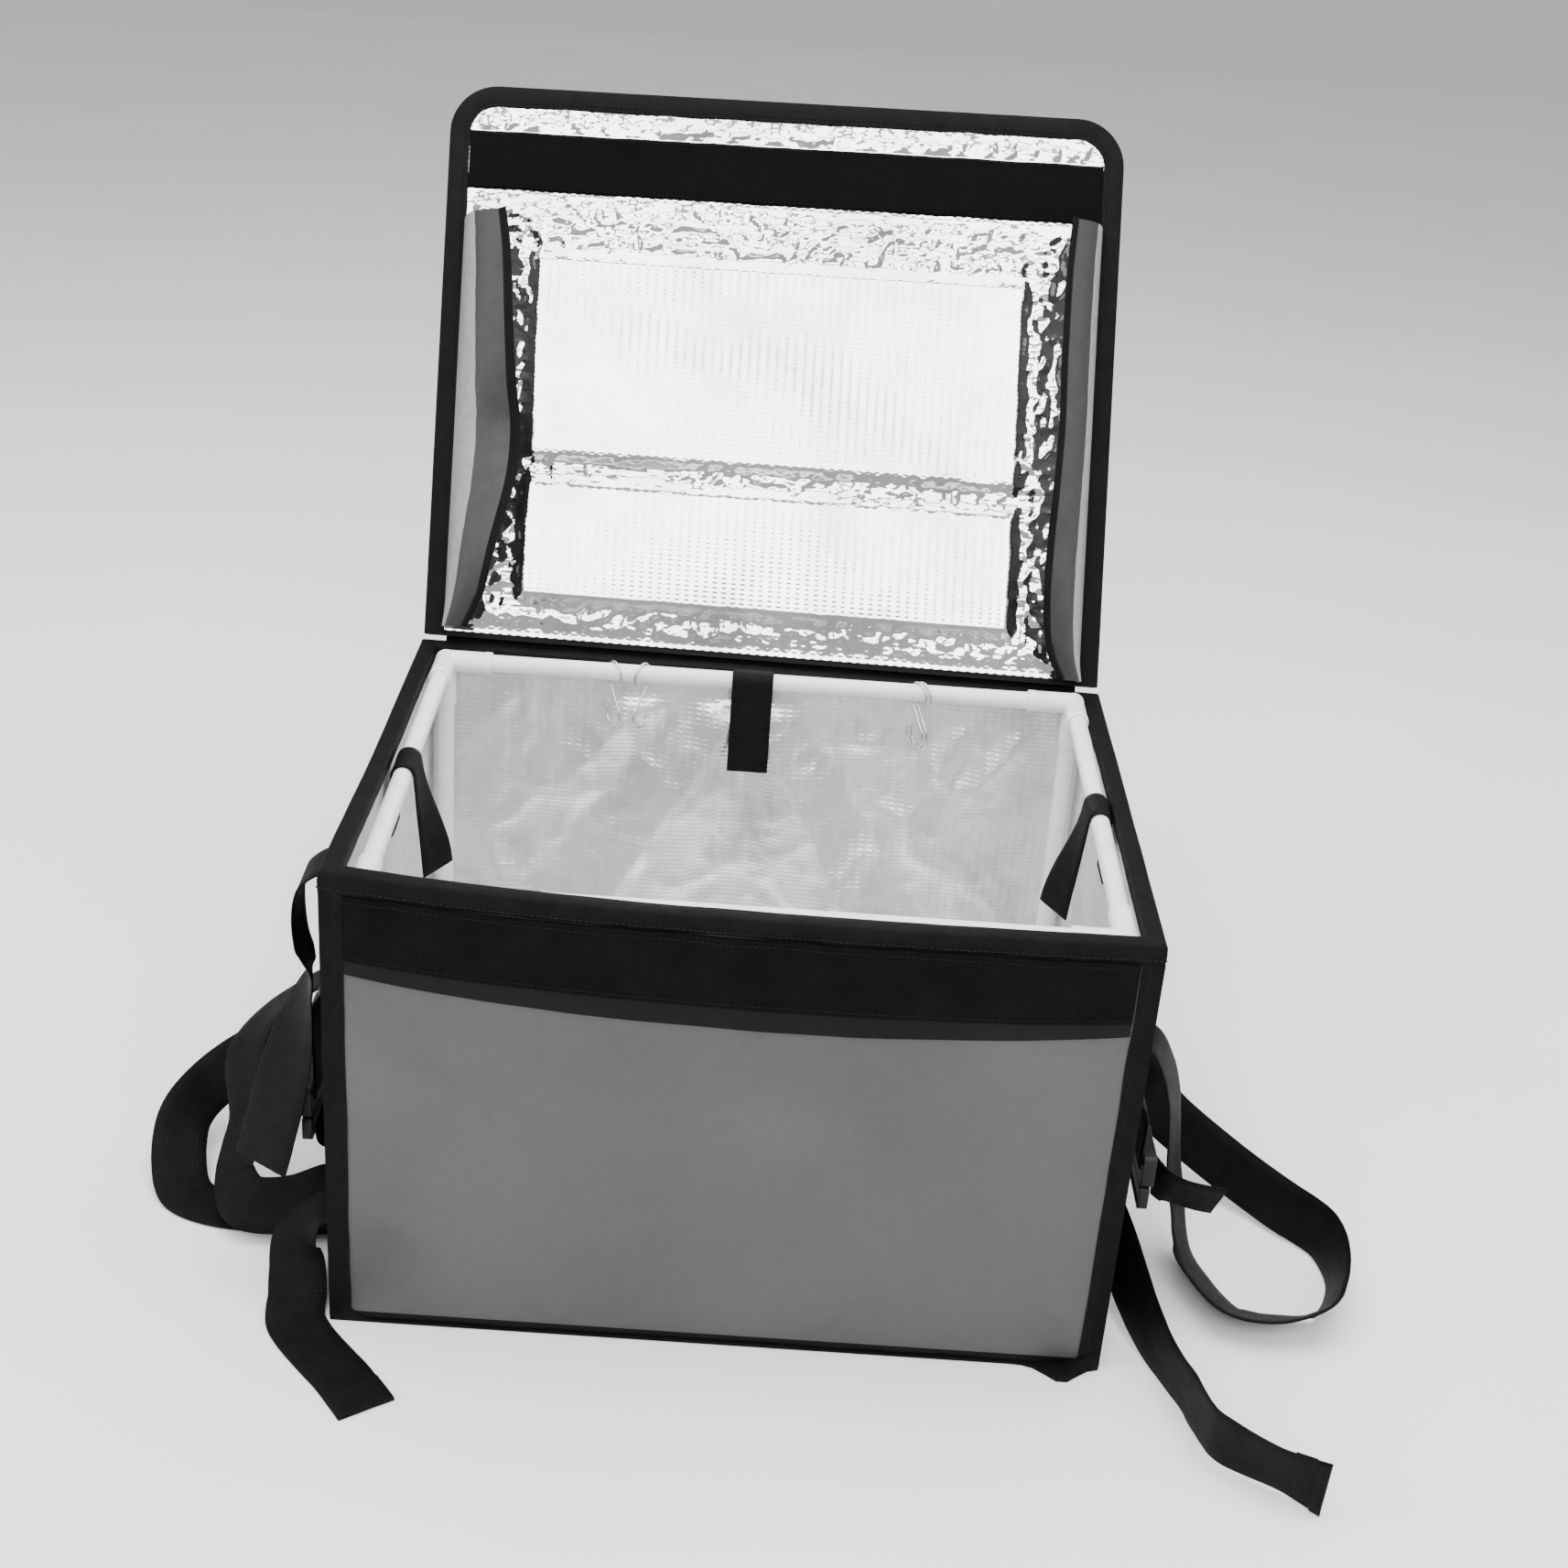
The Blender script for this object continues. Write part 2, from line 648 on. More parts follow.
def embossed_foil(name, tint, low, high, emboss, crumple, metallic):
    """Aluminium foil on cloth: a pressed weave of small diamonds, crumples and dull patches."""
    look = Look(name, tint, low, metallic=metallic)
    worn = look.noise(14.0, 5.0, 0.65)
    dull = tuple(value * 0.72 for value in tint)
    look.colour(look.ramp(worn, [(0.30, dull), (0.55, tint), (0.80, tint)]))
    look.roughness(look.noise(40.0, 5.0, 0.65), low, high)
    diamonds = look.math("MULTIPLY", look.wave(147, "X"), look.wave(278, "Y"))
    look.bump(look.noise(22.0, 5.0, 0.6), crumple, 0.6)
    look.bump(look.noise(75.0, 4.0, 0.6), crumple * 0.35, 0.6)
    look.bump(diamonds, emboss, 0.8)
    return look.material


def skirt_look(name):
    """A skirt's outer face: a pale strip by its seam, then glossy dark cloth."""
    look = Look(name, (0.05, 0.05, 0.052), 0.35, specular=0.5)
    split = look.node("ShaderNodeSeparateXYZ")
    look.link(look.mapped("UV", (1, 1, 1)), split.inputs[0])
    edge = look.math("ADD", split.outputs["X"], look.math("MULTIPLY", look.noise(60.0, 2.0), 0.004))
    band = look.math("GREATER_THAN", edge, 0.034)
    grain = look.noise(120.0, 3.0, 0.6)
    pale = look.ramp(grain, [(0.3, (0.20, 0.20, 0.205)), (0.7, (0.27, 0.27, 0.275))])
    deep = look.ramp(grain, [(0.3, (0.012, 0.012, 0.0125)), (0.7, (0.020, 0.020, 0.021))])
    look.colour(look.blend(band, pale, deep))
    look.roughness(look.noise(40.0, 4.0, 0.6), 0.30, 0.48)
    look.bump(look.noise(40.0, 4.0, 0.5), 0.0010, 0.6)
    look.bump(look.math("MAXIMUM", look.wave(1300, "X"), look.wave(1300, "Y")), 0.00012, 0.5)
    return look.material


def smooth_plastic(name, dark, light, roughness, specular=0.5, grain=0.00006):
    look = Look(name, light, roughness, specular=specular)
    look.colour(look.ramp(look.noise(30.0, 5.0, 0.6), [(0.25, dark), (0.60, light)]))
    look.roughness(look.noise(60.0, 4.0, 0.6), roughness - 0.06, roughness + 0.10)
    look.bump(look.noise(700.0, 3.0, 0.6), grain, 0.5)
    look.bump(look.noise(25.0, 2.0, 0.5), 0.0003, 0.35)
    return look.material


def bright_wire(name):
    look = Look(name, (0.62, 0.62, 0.64), 0.16, metallic=1.0)
    look.colour(look.ramp(look.noise(90.0, 4.0, 0.7), [(0.25, (0.36, 0.35, 0.34)), (0.5, (0.66, 0.66, 0.68))]))
    look.roughness(look.noise(160.0, 4.0, 0.6), 0.10, 0.32)
    look.bump(look.noise(500.0, 2.0, 0.5), 0.00005, 0.5)
    return look.material


def plain_floor(name, dark, light):
    look = Look(name, light, 0.8, specular=0.1)
    look.colour(look.ramp(look.noise(3.0, 2.0, 0.5), [(0.3, dark), (0.7, light)]))
    return look.material


def sewing_thread(name, colour):
    look = Look(name, colour, 0.6, specular=0.15)
    light = tuple(value * 1.8 for value in colour)
    look.colour(look.ramp(look.noise(400.0, 2.0, 0.5), [(0.3, colour), (0.7, light)]))
    look.bump(look.noise(1500.0, 2.0, 0.5), 0.0001, 0.6)
    return look.material


GREY = coated_cloth("grey coated cloth", (0.050, 0.051, 0.052), (0.068, 0.069, 0.070), 0.40, 0.40)
BLACK = coated_cloth("black coated cloth", (0.002, 0.002, 0.0023), (0.0045, 0.0045, 0.005), 0.50, 0.12)
TAPE_LOOK = ribbed_tape("black binding tape", (0.0018, 0.0018, 0.002), (0.0042, 0.0042, 0.0046), 700, 0.66)
WEB = strap_webbing("black webbing")
HOOKS_LOOK = fastening_pile("hook tape", (0.0014, 0.0014, 0.0016), (0.0050, 0.0050, 0.0055), 520, 0.0004)
LOOPS_LOOK = fastening_pile("loop tape", (0.0010, 0.0010, 0.0012), (0.0022, 0.0022, 0.0025), 300, 0.0005)
FOIL_LOOK = embossed_foil("foil of the lining", (0.93, 0.93, 0.94), 0.26, 0.42, 0.00024, 0.0009, 0.93)
LID_FOIL = embossed_foil("foil of the lid", (0.93, 0.93, 0.94), 0.06, 0.13, 0.00010, 0.00022, 1.0)
SKIRT = skirt_look("skirt cloth")
PLASTIC = smooth_plastic("white tube plastic", (0.74, 0.74, 0.72), (0.86, 0.86, 0.85), 0.34)
WIRE = bright_wire("chromed wire")
MOULDED = smooth_plastic("black moulded plastic", (0.006, 0.006, 0.0065), (0.012, 0.012, 0.0125), 0.40, 0.25, 0.00012)
THREAD = sewing_thread("black thread", (0.005, 0.005, 0.0055))
FLOOR = plain_floor("pale floor", (0.90, 0.90, 0.90), (0.93, 0.93, 0.93))
CARD = plain_floor("dark card", (0.02, 0.02, 0.02), (0.03, 0.03, 0.03))


# The padded box

def wall_place(wall, across, up, out):
    signs = {"front": (0, -1), "back": (0, 1), "left": (-1, 0), "right": (1, 0)}
    x_sign, y_sign = signs[wall]
    if y_sign:
        return Vector((across * HALF_WIDTH, y_sign * (HALF_DEPTH + out), up * BOX_HEIGHT))
    return Vector((x_sign * (HALF_WIDTH + out), across * HALF_DEPTH, up * BOX_HEIGHT))


FRONT_FULLNESS = 0.004


def front_rise(across, up):
    """How far the front cloth stands out of its plane: folds and soft dents."""
    level = math.sin(math.pi * min(1.0, max(0.0, up)))
    fade = level * (1 - across ** 4)
    place = (across * HALF_WIDTH, 0.3, up * BOX_HEIGHT)
    soft = 0.0022 * wander(place, 0.11, 3.1) + 0.0006 * wander(place, 0.035, 8.2)
    full = FRONT_FULLNESS * level ** 0.6 * (1 - across ** 6)
    return (fold_rise(FOLDS["front"], across, up) + soft) * fade + full


def wall_cloth(wall, look, slot, columns, rows):
    shorter = wall in ("left", "right")
    edge = (HALF_DEPTH - WALL - GAP) / HALF_DEPTH if shorter else 1.0
    half = HALF_DEPTH if shorter else HALF_WIDTH
    low = (WALL + GAP) / BOX_HEIGHT
    high = WALL_TOP / BOX_HEIGHT

    def place(across, up, level):
        out = -WALL
        if level:
            share = min(1.0, max(0.0, (up - low) / (high - low)))
            if wall == "front":
                out = front_rise(across, share)
            else:
                fade = math.sin(math.pi * share) * (1 - across ** 4)
                spot = (across * half, len(wall), up * BOX_HEIGHT)
                out = fade * (0.0020 * wander(spot, 0.12, len(wall)) + 0.0006 * wander(spot, 0.04, 5.0))
        return soften(wall_place(wall, across, up, out))

    shape = Shape()
    shape.grid(spread(-edge, edge, columns), spread(low, high, rows), place,
               lambda across, up: (across * half, up * BOX_HEIGHT))
    piece = shape.piece(f"{wall}_cloth", look, slot, [f"{wall}_panel"])


def base_cloth():
    shape = Shape()
    shape.grid(spread(-HALF_WIDTH, HALF_WIDTH, 24), spread(-HALF_DEPTH, HALF_DEPTH, 20),
               lambda x, y, level: soften(Vector((x, y, level * WALL))), lambda x, y: (x, y))
    shape.piece("base_cloth", BLACK, "black_coated_cloth", ["base_panel"])


def foil_rise(wall, share, up):
    """How far the foil stands in from the wall, clear of the tubes."""
    if wall == "floor":
        return 0.0
    fade = smooth_step((0.88 - abs(share)) / 0.10) * smooth_step((up - 0.09) / 0.06) * smooth_step((0.93 - up) / 0.05)
    spot = (share * (HALF_WIDTH if wall in ("front", "back") else HALF_DEPTH), len(wall) * 0.7, up * BOX_HEIGHT)
    rise = max(0.0, ridge_rise(FOLDS[wall + "_foil"], share, up))
    rise += 0.0022 * crease(spot, 0.055, 1.7) + 0.0012 * crease(spot, 0.024, 4.4)
    rise += 0.0012 * max(0.0, wander(spot, 0.03, 2.2))
    return rise * fade + 0.0002 * crease(spot, 0.03, 9.0)


def foil_bag():
    """The foil bag's inside, open at the top."""
    shape = Shape()
    x_in, y_in = HALF_WIDTH - LINING_INSIDE, HALF_DEPTH - LINING_INSIDE
    floor = WALL + 2 * GAP + FOIL
    seen = {}

    def corner(point, flat):
        key = tuple(round(value, 6) for value in point)
        if key not in seen:
            seen[key] = shape.add(point, flat)
        return seen[key]

    inward = {"back": (0, -1), "front": (0, 1), "left": (1, 0), "right": (-1, 0)}
    for wall, (dx, dy) in inward.items():
        wide = wall in ("front", "back")
        columns = spread(-1, 1, 150 if wide else 110)
        rows = spread(0, 1, 90)
        index = []
        for share in columns:
            line = []
            for up in rows:
                z = mix(floor, WALL_TOP, up)
                x = share * x_in if wide else -dx * x_in
                y = -dy * y_in if wide else share * y_in
                rise = foil_rise(wall, share, up) if abs(share) < 1 and 0 < up < 1 else 0.0
                point = soften(Vector((x, y, z))) + Vector((dx, dy, 0)) * rise
                flat = (share * (x_in if wide else y_in), z)
                line.append(corner(point, flat))
            index.append(line)
        for i in range(len(columns) - 1):
            for j in range(len(rows) - 1):
                shape.faces.append([index[i][j], index[i + 1][j], index[i + 1][j + 1], index[i][j + 1]])
    columns, rows = spread(-1, 1, 150), spread(-1, 1, 110)
    index = []
    for a in columns:
        line = []
        for b in rows:
            inside = abs(a) < 1 and abs(b) < 1
            lift = 0.0009 * crease((a * x_in, b * y_in, 0.4), 0.05, 6.0) if inside else 0.0
            point = soften(Vector((a * x_in, b * y_in, floor))) + Vector((0, 0, lift))
            line.append(corner(point, (a * x_in, b * y_in)))
        index.append(line)
    for i in range(len(columns) - 1):
        for j in range(len(rows) - 1):
            shape.faces.append([index[i][j], index[i + 1][j], index[i + 1][j + 1], index[i][j + 1]])
    piece = shape.piece("foil_bag", FOIL_LOOK, "silver_foil", ["foil_lining"])
    shell = piece.modifiers.new("foil", "SOLIDIFY")
    shell.thickness = 0.0006
    shell.offset = 1.0


def ring_stations(cells):
    """Places round the box's walls: shares of x and y, corner to corner."""
    corners = [(-1, -1), (1, -1), (1, 1), (-1, 1)]
    result = []
    for start, end in zip(corners, corners[1:] + corners[:1]):
        for cell in range(cells):
            result.append((mix(start[0], end[0], cell / cells), mix(start[1], end[1], cell / cells)))
    return result


def rim_tape():
    """Tape folded over the walls' top, a little ruffled where it is sewn."""
    outer = GAP + TAPE
    inner = -LINING_INSIDE - GAP
    profile = [
        (GAP, -TAPE_FACE, 1.0), (GAP + 0.0002, -TAPE_FACE - 0.0004, 1.0), (outer, -TAPE_FACE, 1.0),
        (outer + 0.0003, -TAPE_FACE / 2, 0.8), (outer, -0.0016, 0.4), (outer - 0.0009, -0.0004, 0.3),
        (0.0, 0.0, 0.3), (inner / 2, 0.0003, 0.3), (inner, 0.0, 0.3), (inner - TAPE + 0.0006, -0.0004, 0.3),
        (inner - TAPE, -0.0016, 0.3), (inner - TAPE, -TAPE_INSIDE, 0.6), (inner, -TAPE_INSIDE, 0.6),
        (inner, -TAPE, 0.2), (GAP, -TAPE, 0.2),
    ]
    sections = []
    seam, seam_out = [], []
    for a, b in ring_stations(110):
        base = Vector((a * HALF_WIDTH, b * HALF_DEPTH, 0.0))
        ruffle = wander(base, 0.014, 1.3, 2)
        slack = wander(base, 0.05, 7.7, 2)
        section = []
        for out, down, share in profile:
            push = 0.0007 * share * max(0.0, ruffle + 0.4)
            drop = 0.0011 * share * (slack + 0.5 * ruffle)
            if down > -TAPE_INSIDE / 2:
                push, drop = 0.0, 0.0005 * slack
            section.append(soften(Vector((a * (HALF_WIDTH + out + math.copysign(push, out)),
                                          b * (HALF_DEPTH + out + math.copysign(push, out)),
                                          BOX_HEIGHT + down + drop))))
        sections.append(section)
        stand = outer + 0.0005 + 0.0006 * max(0.0, ruffle + 0.4)
        seam.append(soften(Vector((a * (HALF_WIDTH + stand), b * (HALF_DEPTH + stand), BOX_HEIGHT - 0.0105))))
        seam_out.append(Vector((a if abs(a) == 1 else 0, b if abs(b) == 1 else 0, 0)).normalized())
    shape = Shape()
    shape.loft(sections, closed=True)
    piece = shape.piece("rim_tape", TAPE_LOOK, "black_tape", ["rim_binding"])
    thread = Shape()
    thread.stitches(seam + seam[:1], seam_out + seam_out[:1])
    thread.piece("rim_stitching", THREAD, "black_tape")


# The foot tape's height below the front, and where it bulges at the right corner
FRONT_FOOT = 0.16
LOBE_AT = 0.90
LOBE_SPREAD = 0.055
LOBE_REACH = 0.016


def edge_tape():
    """Tape over the four upright corners and round the base."""
    shape = Shape()
    inner, outer = GAP, GAP + TAPE
    foot = [(inner, GAP), (outer, GAP), (outer + 0.0004, SEAM_TAPE / 2), (outer, SEAM_TAPE), (inner, SEAM_TAPE)]
    sections = []
    for a, b in ring_stations(70):
        slack = wander((a, b, 0.0), 0.16, 3.3, 2)
        low_front = smooth_step((0.97 - abs(a)) / 0.06) * (b == -1)
        lobe = math.exp(-((a - LOBE_AT) / LOBE_SPREAD) ** 2) * (b == -1)
        section = []
        for out, up in foot:
            lift = 0.0008 * slack if up > SEAM_TAPE / 2 else 0.0
            up = mix(up, GAP + (up - GAP) * FRONT_FOOT, low_front)
            spread_out = LOBE_REACH * lobe * (1 - up / SEAM_TAPE) * (out > GAP)
            place = soften(Vector((a * (HALF_WIDTH + out), b * (HALF_DEPTH + out), up + lift)))
            section.append(place - Vector((0, spread_out, 0)))
        sections.append(section)
    shape.loft(sections, closed=True)
    leg_in, leg_out = inner + GAP, outer + GAP
    plan = [(leg_out, leg_out), (leg_out + 0.0002, -SEAM_TAPE / 2), (leg_out, -SEAM_TAPE), (leg_in, -SEAM_TAPE),
            (leg_in, leg_in), (-SEAM_TAPE, leg_in), (-SEAM_TAPE, leg_out), (-SEAM_TAPE / 2, leg_out + 0.0002)]
    thread = Shape()
    for x_sign, y_sign in ((-1, -1), (1, -1), (1, 1), (-1, 1)):
        sections = []
        lines = [[], []]
        for z in spread(SEAM_TAPE / 2, BOX_HEIGHT - TAPE_FACE - GAP, 70):
            slack = wander((x_sign, y_sign, z * 6), 0.30, 5.5, 2)
            section = []
            for x, y in plan:
                x_move = 0.0010 * slack if x < -SEAM_TAPE * 0.9 else 0.0
                y_move = 0.0010 * slack if y < -SEAM_TAPE * 0.9 else 0.0
                section.append(soften(Vector((x_sign * (HALF_WIDTH + x + x_move),
                                              y_sign * (HALF_DEPTH + y + y_move), z))))
            sections.append(section)
            lines[0].append(soften(Vector((x_sign * (HALF_WIDTH - SEAM_TAPE * 0.72), y_sign * (HALF_DEPTH + leg_out), z))))
            lines[1].append(soften(Vector((x_sign * (HALF_WIDTH + leg_out), y_sign * (HALF_DEPTH - SEAM_TAPE * 0.72), z))))
        shape.loft(sections)
        thread.stitches(lines[0], [Vector((0, y_sign, 0))] * len(lines[0]))
        thread.stitches(lines[1], [Vector((x_sign, 0, 0))] * len(lines[1]))
    foot_line, foot_out = [], []
    for a, b in ring_stations(70)[70:]:
        foot_line.append(soften(Vector((a * (HALF_WIDTH + outer), b * (HALF_DEPTH + outer), SEAM_TAPE * 0.75))))
        foot_out.append(Vector((a if abs(a) == 1 else 0, b if abs(b) == 1 else 0, 0)).normalized())
    thread.stitches(foot_line, foot_out)
    shape.piece("edge_tape", TAPE_LOOK, "black_tape", ["edge_binding"])
    thread.piece("edge_stitching", THREAD, "black_tape")


def front_bands():
    """The black band below the front rim, with the hook tape sewn on it."""
    edge = 1 - (SEAM_TAPE + 2 * GAP) / HALF_WIDTH
    low = BOX_HEIGHT - TAPE_FACE - HOOK_BAND
    high = BOX_HEIGHT - TAPE_FACE - GAP

    def seat(across, up):
        cloth_low, cloth_high = (WALL + GAP) / BOX_HEIGHT, WALL_TOP / BOX_HEIGHT
        return max(0.0, front_rise(across, (up - cloth_low) / (cloth_high - cloth_low)))

    def band_place(across, share, level):
        sag = BAND_SAG * (1 - across * across) * (1 - share)
        up = (mix(low, high, share) - sag) / BOX_HEIGHT
        return soften(wall_place("front", across, up, seat(across, up) + 2 * GAP + level * BAND / 2))

    shape = Shape()
    shape.grid(spread(-edge, edge, 120), spread(0, 1, 14), band_place,
               lambda across, share: (across * HALF_WIDTH, share * HOOK_BAND))
    shape.piece("front_band", BLACK, "black_coated_cloth")

    def hook_place(across, share, level):
        spot = (across * HALF_WIDTH, 0.0, 0.0)
        ruffle = wander(spot, 0.012, 6.1, 2)
        lift = smooth_step((share - 0.80) / 0.2)
        sag = 0.55 * BAND_SAG * (1 - across * across) * (1 - share)
        up = (mix(low + 0.009, high, share) - sag + 0.0012 * lift * wander(spot, 0.03, 2.5, 2)) / BOX_HEIGHT
        out = BAND / 2 + 2 * GAP + level * (BAND / 2 + 0.0012 * lift * max(0.0, ruffle + 0.35))
        return soften(wall_place("front", across, up, seat(across, up) + GAP + out))

    shape = Shape()
    shape.grid(spread(-edge, edge, 260), spread(0, 1, 18), hook_place,
               lambda across, share: (across * HALF_WIDTH, share * HOOK_BAND))
    piece = shape.piece("hook_tape", HOOKS_LOOK, "black_fastening_tape", ["hook_band"])
    thread = Shape()
    for share in (0.06, 0.92):
        line = [hook_place(across, share, 1) for across in spread(-edge, edge, 120)]
        thread.stitches(line, [Vector((0, -1, 0))] * len(line))
    thread.piece("band_stitching", THREAD, "black_fastening_tape")


def hinge_strip():
    shape = Shape()
    sections = []
    edge = HALF_WIDTH - TAPE_FACE - TAPE - 3 * GAP
    for across in spread(-edge, edge, 80):
        share = across / HALF_WIDTH
        slack = 0.0005 * wander((across, 0, 0), 0.04, 4.0, 2)
        back = HALF_DEPTH + 2 * GAP + TAPE
        rim = BOX_HEIGHT - RIM_LEAN * share
        inner = [Vector((across, back, rim - HINGE_TAPE + slack)), Vector((across, back, rim - TAPE_FACE)),
                 lid_point(across, 0, -WALL - 3 * GAP), lid_point(across, HINGE_TAPE + slack, -WALL - GAP)]
        outer = [lid_point(across, HINGE_TAPE + slack, -WALL - GAP - TAPE),
                 lid_point(across, 0, -WALL - 3 * GAP - TAPE), Vector((across, back + TAPE, rim - TAPE_FACE)),
                 Vector((across, back + TAPE, rim - HINGE_TAPE + slack))]
        sections.append(inner + outer)
    shape.loft(sections)
    piece = shape.piece("hinge_strip", TAPE_LOOK, "black_tape", ["hinge_tape"])


# The lid

def round_corner(across, along, half_width, length, radius):
    x = abs(across) - (half_width - radius)
    y = along - (length - radius)
    if x <= 0 or y <= 0:
        return across, along
    pull = max(x, y) / math.hypot(x, y)
    return math.copysign(half_width - radius + x * pull, across), length - radius + y * pull


def lid_cloth():
    edge = TAPE + GAP
    half, length = HALF_WIDTH - edge, LID_LENGTH - edge

    def place(across, along, level):
        x, y = round_corner(across, along, half, length, LID_CORNER)
        dent = 0.0
        if not level:
            fade = (1 - (across / half) ** 4) * math.sin(math.pi * min(1.0, along / length))
            dent = fade * (0.0022 * wander((across, 1.0, along), 0.13, 2.0) + 0.0006 * wander((across, 2.0, along), 0.04))
        return lid_point(x, y, -WALL * (1 - level) + dent)

    shape = Shape()
    shape.grid(spread(-half, half, 90), spread(TAPE_INSIDE / 2, length, 76), place, lambda x, y: (x, y))
    shape.piece("lid_cloth", BLACK, "black_coated_cloth", ["lid_panel"])


def board_rise(across, along):
    main = LID_LENGTH - LID_FLAP
    sides = smooth_step((BOARD_WIDTH / 2 - abs(across)) / BOARD_EDGE)
    rise = 0.0
    for low, high in BOARD_ROWS:
        start = smooth_step((along - low * main) / BOARD_EDGE)
        ends = start * smooth_step((high * main - along) / BOARD_EDGE)
        rise = max(rise, BOARD_RISE * sides * ends)
    return rise


def lid_foil():
    """Foil over the lid's inside: taut on two boards, crumpled round them."""
    edge = TAPE + GAP
    half, length = HALF_WIDTH - edge, LID_LENGTH - edge
    main = LID_LENGTH - LID_FLAP

    def place(across, along, level):
        x, y = round_corner(across, along, half, length, LID_CORNER)
        if not level:
            return lid_point(x, y, GAP)
        rise = board_rise(across, along)
        loose = 1 - rise / BOARD_RISE
        fade = smooth_step((half - TAPE_FACE - abs(across)) / 0.012)
        fade *= smooth_step((length - TAPE_FACE - along) / 0.010) * smooth_step((along - 0.012) / 0.010)
        spot = (across, 0.0, along)
        crumple = 0.0016 * crease(spot, 0.016, 3.0) + 0.0012 * crease(spot, 0.008, 1.0)
        crumple += 0.0012 * max(0.0, wander(spot, 0.02, 5.0))
        lines = 0.0009 * crease((across * 0.22, 0.0, along), 0.0075, 8.0)
        lines *= smooth_step((along - main * 0.86) / 0.012) * smooth_step((main - along) / 0.006)
        bow = 0.0018 * math.sin(math.pi * min(1.0, max(0.0, along / main))) * (1 - (across / half) ** 2)
        taut = 0.00020 * wander(spot, 0.05, 4.0) + 0.0012 * wander(spot, 0.16, 1.5, 2)
        free = smooth_step((main - 0.001 - along) / 0.010) + smooth_step((along - main - LOOP_STRIP) / 0.006)
        relief = loose * crumple + lines + bow + (1 - loose) * taut
        return lid_point(x, y, GAP + FOIL + rise + fade * free * relief)

    shape = Shape()
    shape.grid(spread(-half, half, 230), spread(TAPE_INSIDE, length, 200), place, lambda x, y: (x, y))
    piece = shape.piece("lid_foil", LID_FOIL, "silver_foil", ["lid_lining"])


def lid_outline(steps, turns):
    half, length = HALF_WIDTH - TAPE - GAP, LID_LENGTH - TAPE - GAP
    low = TAPE_INSIDE / 2 + GAP
    rows = spread(low, length - LID_CORNER, steps)
    points = [(-half, row, -1.0, 0.0) for row in rows]
    for side in (-1, 1):
        centre = Vector((side * (half - LID_CORNER), length - LID_CORNER))
        for step in range(1, turns):
            turn = math.radians(90 * step / turns)
            turn = turn if side < 0 else math.pi / 2 - turn
            out = Vector((side * math.cos(turn), math.sin(turn)))
            points.append((*(centre + out * LID_CORNER), *out))
        if side < 0:
            inner = half - LID_CORNER
            points += [(x, length, 0.0, 1.0) for x in spread(-inner, inner, steps)]
    points += [(half, row, 1.0, 0.0) for row in reversed(rows)]
    return points


def lid_tape():
    front = GAP + FOIL + GAP
    back = -WALL - GAP
    profile = [(GAP, back), (GAP, front), (-TAPE_FACE, front), (-TAPE_FACE - 0.0003, front + TAPE / 2),
               (-TAPE_FACE, front + TAPE), (-TAPE_FACE / 2, front + TAPE + 0.0004), (0.0, front + TAPE),
               (TAPE, front + TAPE / 2), (TAPE + 0.0003, front - 0.002), (TAPE + 0.0003, back + 0.001),
               (TAPE, back - TAPE / 2), (0.0, back - TAPE), (-TAPE_FACE, back - TAPE), (-TAPE_FACE, back)]
    shape, thread = Shape(), Shape()
    sections, seam = [], []
    inward = lid_point(0, 0, 1) - lid_point(0, 0, 0)
    for x, y, out_x, out_y in lid_outline(70, 14):
        slack = wander((x, 0.0, y), 0.035, 2.7, 2)
        section = []
        for out, level in profile:
            shift = 0.0008 * slack if out < -TAPE_FACE / 2 else 0.0
            swell = 0.0004 * slack if abs(out) < TAPE_FACE * 0.9 and level > front else 0.0
            section.append(lid_point(x + out_x * (out + shift), y + out_y * (out + shift), level + swell))
        sections.append(section)
        inset = -TAPE_FACE * 0.78
        seam.append(lid_point(x + out_x * inset, y + out_y * inset, front + TAPE + 0.0002))
    shape.loft(sections)
    shape.piece("lid_tape", TAPE_LOOK, "black_tape", ["lid_binding"])
    thread.stitches(seam, [inward] * len(seam))
    thread.piece("lid_stitching", THREAD, "black_tape")


def loop_tape():
    edge = HALF_WIDTH - TAPE - TAPE_FACE - 3 * GAP
    low = LID_LENGTH - LID_FLAP
    seat = 2 * GAP + FOIL

    def place(across, along, level):
        rim = min(smooth_step((edge - abs(across)) / 0.002), smooth_step((along - low) / 0.002),
                  smooth_step((low + LOOP_STRIP - along) / 0.002))
        wave = 0.0008 * wander((across, 0, along), 0.05, 2.0)
        return lid_point(across, along + 0.0006 * wander((across, 0, 0), 0.03, 1.0), seat + level * (BAND * 0.5 + BAND * 0.5 * rim + wave * rim))

    shape = Shape()
    shape.grid(spread(-edge, edge, 180), spread(low, low + LOOP_STRIP, 30), place, lambda x, y: (x, y))
    piece = shape.piece("loop_tape", LOOPS_LOOK, "black_fastening_tape", ["lid_loop_strip"])
    thread = Shape()
    inward = lid_point(0, 0, 1) - lid_point(0, 0, 0)
    for along in (low + 0.002, low + LOOP_STRIP - 0.002):
        line = [place(x, along, 1) for x in spread(-edge + 0.002, edge - 0.002, 120)]
        thread.stitches(line, [inward] * len(line))
    thread.piece("loop_stitching", THREAD, "black_fastening_tape")


def skirt_rows(side):
    return smooth_rows(SKIRT_FORM[side], 9)


